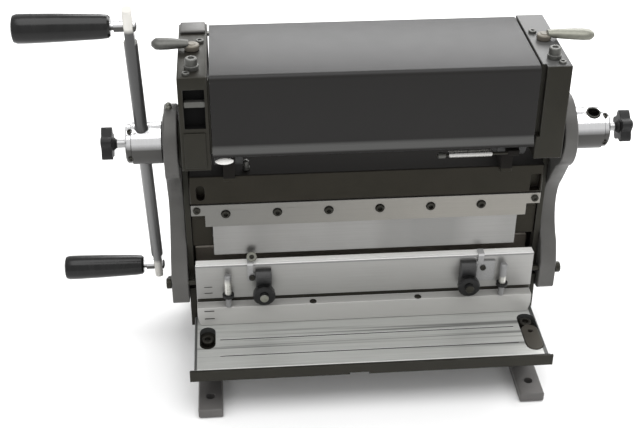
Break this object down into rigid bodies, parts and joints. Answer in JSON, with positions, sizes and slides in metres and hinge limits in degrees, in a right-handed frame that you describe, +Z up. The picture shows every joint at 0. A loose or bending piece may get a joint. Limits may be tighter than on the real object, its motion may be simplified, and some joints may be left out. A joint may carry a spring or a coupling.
{
  "type": "sheet metal brake",
  "caption": "Bench-top sheet metal machine: hand-levered shear and press brake below, geared slip rolls under a hinged cover above, between side frames.",
  "frame": {"origin": "under the centre of the bounding box, on the bench surface", "axes": "+X to the right along the blades and shafts, +Y to the back, +Z up"},
  "size_m": [0.561, 0.2104, 0.4155],
  "materials": {
    "casting_paint": "satin dark grey paint on castings",
    "cover_paint": "satin dark grey paint on folded sheet",
    "machined_steel": "ground and machined faces",
    "rod_steel": "drawn bar",
    "chrome": "polished plating",
    "black_plastic": "glossy black moulding",
    "black_oxide": "blackened steel",
    "bearing_bronze": "sintered bronze",
    "zinc_plate": "dull zinc plate"
  },
  "bodies": {
    "machine_frame": {"base_casting": "casting_paint", "left_foot_bar": "casting_paint", "right_foot_bar": "casting_paint", "work_table": "machined_steel", "left_table_screw": "black_oxide", "right_table_screw": "black_oxide", "right_slot_block": "casting_paint", "bed_beam": "machined_steel", "lower_shear_blade": "machined_steel", "brake_v_die": "black_oxide", "left_side_frame": "casting_paint", "right_side_frame": "casting_paint", "left_shaft_bush": "bearing_bronze", "right_shaft_bush": "bearing_bronze", "left_toe_bolt": "black_oxide", "right_toe_bolt": "black_oxide", "left_ram_guide": "casting_paint", "right_ram_guide": "casting_paint", "left_roll_bracket": "casting_paint", "right_roll_bracket": "casting_paint", "cover_hinge_rod": "rod_steel", "left_gauge_pin": "chrome", "right_gauge_pin": "chrome"},
    "ram": {"ram": "casting_paint", "blade_clamp_strip": "machined_steel", "upper_shear_blade": "machined_steel", "brake_punch": "machined_steel", "clamp_screw_1": "black_oxide", "clamp_screw_2": "black_oxide", "clamp_screw_3": "black_oxide", "clamp_screw_4": "black_oxide", "clamp_screw_5": "black_oxide", "clamp_screw_6": "black_oxide"},
    "main_shaft": {"main_shaft": "machined_steel", "left_hub": "chrome", "right_hub": "chrome", "upper_lever_rod": "rod_steel", "lower_lever_rod": "rod_steel", "upper_grip_spindle": "chrome", "lower_grip_spindle": "chrome"},
    "upper_grip": {"upper_grip": "black_plastic"},
    "lower_grip": {"lower_grip": "black_plastic"},
    "left_lock_knob": {"left_lock_knob": "black_plastic"},
    "right_lock_knob": {"right_lock_knob": "black_plastic"},
    "upper_roll": {"upper_roll": "machined_steel", "upper_roll_gear": "rod_steel"},
    "lower_roll": {"lower_roll": "machined_steel", "lower_roll_gear": "rod_steel"},
    "rear_roll": {"rear_roll": "machined_steel"},
    "left_roll_screw": {"left_roll_screw": "zinc_plate"},
    "right_roll_screw": {"right_roll_screw": "zinc_plate"},
    "left_cam_lever": {"left_cam_lever": "zinc_plate"},
    "right_cam_lever": {"right_cam_lever": "zinc_plate"},
    "roll_cover": {"roll_cover": "cover_paint", "left_cover_knuckle": "cover_paint", "right_cover_knuckle": "cover_paint"},
    "left_guide": {"left_guide_clamp": "black_oxide"},
    "right_guide": {"right_guide_clamp": "black_oxide"},
    "left_thumb_screw": {"left_thumb_screw": "black_plastic"},
    "right_thumb_screw": {"right_thumb_screw": "black_plastic"}
  },
  "joints": [
    {"name": "shaft_turn", "type": "hinge", "parent": "machine_frame", "child": "main_shaft", "pos_m": [0.0295, -0.0093, 0.261], "axis": [1, 0, 0], "range_deg": [-52, 52]},
    {"name": "ram_slide", "type": "slide", "parent": "machine_frame", "child": "ram", "axis": [0, 0, 1], "range_m": [-0.0115, 0.0115]},
    {"name": "upper_grip_spin", "type": "hinge", "parent": "main_shaft", "child": "upper_grip", "pos_m": [-0.1835, -0.05011, 0.39701], "axis": [1, 0, 0], "continuous": true},
    {"name": "lower_grip_spin", "type": "hinge", "parent": "main_shaft", "child": "lower_grip", "pos_m": [-0.1835, 0.04357, 0.08476], "axis": [1, 0, 0], "continuous": true},
    {"name": "left_knob_turn", "type": "hinge", "parent": "main_shaft", "child": "left_lock_knob", "pos_m": [0.0295, -0.0093, 0.261], "axis": [1, 0, 0], "continuous": true},
    {"name": "right_knob_turn", "type": "hinge", "parent": "main_shaft", "child": "right_lock_knob", "pos_m": [0.0295, -0.0093, 0.261], "axis": [1, 0, 0], "continuous": true},
    {"name": "lower_roll_spin", "type": "hinge", "parent": "machine_frame", "child": "lower_roll", "pos_m": [0.0295, -0.0328, 0.299], "axis": [1, 0, 0], "continuous": true},
    {"name": "upper_roll_spin", "type": "hinge", "parent": "machine_frame", "child": "upper_roll", "pos_m": [0.0295, -0.0328, 0.328], "axis": [1, 0, 0], "continuous": true},
    {"name": "rear_roll_spin", "type": "hinge", "parent": "machine_frame", "child": "rear_roll", "pos_m": [0.0295, -0.0018, 0.304], "axis": [1, 0, 0], "continuous": true},
    {"name": "left_roll_screw_turn", "type": "hinge", "parent": "machine_frame", "child": "left_roll_screw", "pos_m": [-0.1335, -0.0328, 0.35], "axis": [0, 0, 1], "continuous": true},
    {"name": "right_roll_screw_turn", "type": "hinge", "parent": "machine_frame", "child": "right_roll_screw", "pos_m": [0.1925, -0.0328, 0.35], "axis": [0, 0, 1], "continuous": true},
    {"name": "left_cam_swing", "type": "hinge", "parent": "machine_frame", "child": "left_cam_lever", "pos_m": [-0.1335, 0.0072, 0.35], "axis": [0, 0, 1], "range_deg": [-80, 0]},
    {"name": "right_cam_swing", "type": "hinge", "parent": "machine_frame", "child": "right_cam_lever", "pos_m": [0.1925, 0.0072, 0.35], "axis": [0, 0, 1], "range_deg": [0, 80]},
    {"name": "cover_open", "type": "hinge", "parent": "machine_frame", "child": "roll_cover", "pos_m": [0.0295, 0.0576, 0.3401], "axis": [-1, 0, 0], "range_deg": [0, 100]},
    {"name": "left_guide_slide", "type": "slide", "parent": "machine_frame", "child": "left_guide", "axis": [1, 0, 0], "range_m": [-0.01, 0.06]},
    {"name": "right_guide_slide", "type": "slide", "parent": "machine_frame", "child": "right_guide", "axis": [1, 0, 0], "range_m": [-0.06, 0.003]},
    {"name": "left_thumb_turn", "type": "hinge", "parent": "left_guide", "child": "left_thumb_screw", "pos_m": [-0.0745, -0.0308, 0.094], "axis": [0, 1, 0], "continuous": true},
    {"name": "right_thumb_turn", "type": "hinge", "parent": "right_guide", "child": "right_thumb_screw", "pos_m": [0.1335, -0.0308, 0.094], "axis": [0, 1, 0], "continuous": true}
  ],
  "couplings": [
    {"joint": "ram_slide", "follows": "shaft_turn", "m_per_rad": 0.0123},
    {"joint": "upper_roll_spin", "follows": "lower_roll_spin", "ratio": -1}
  ]
}
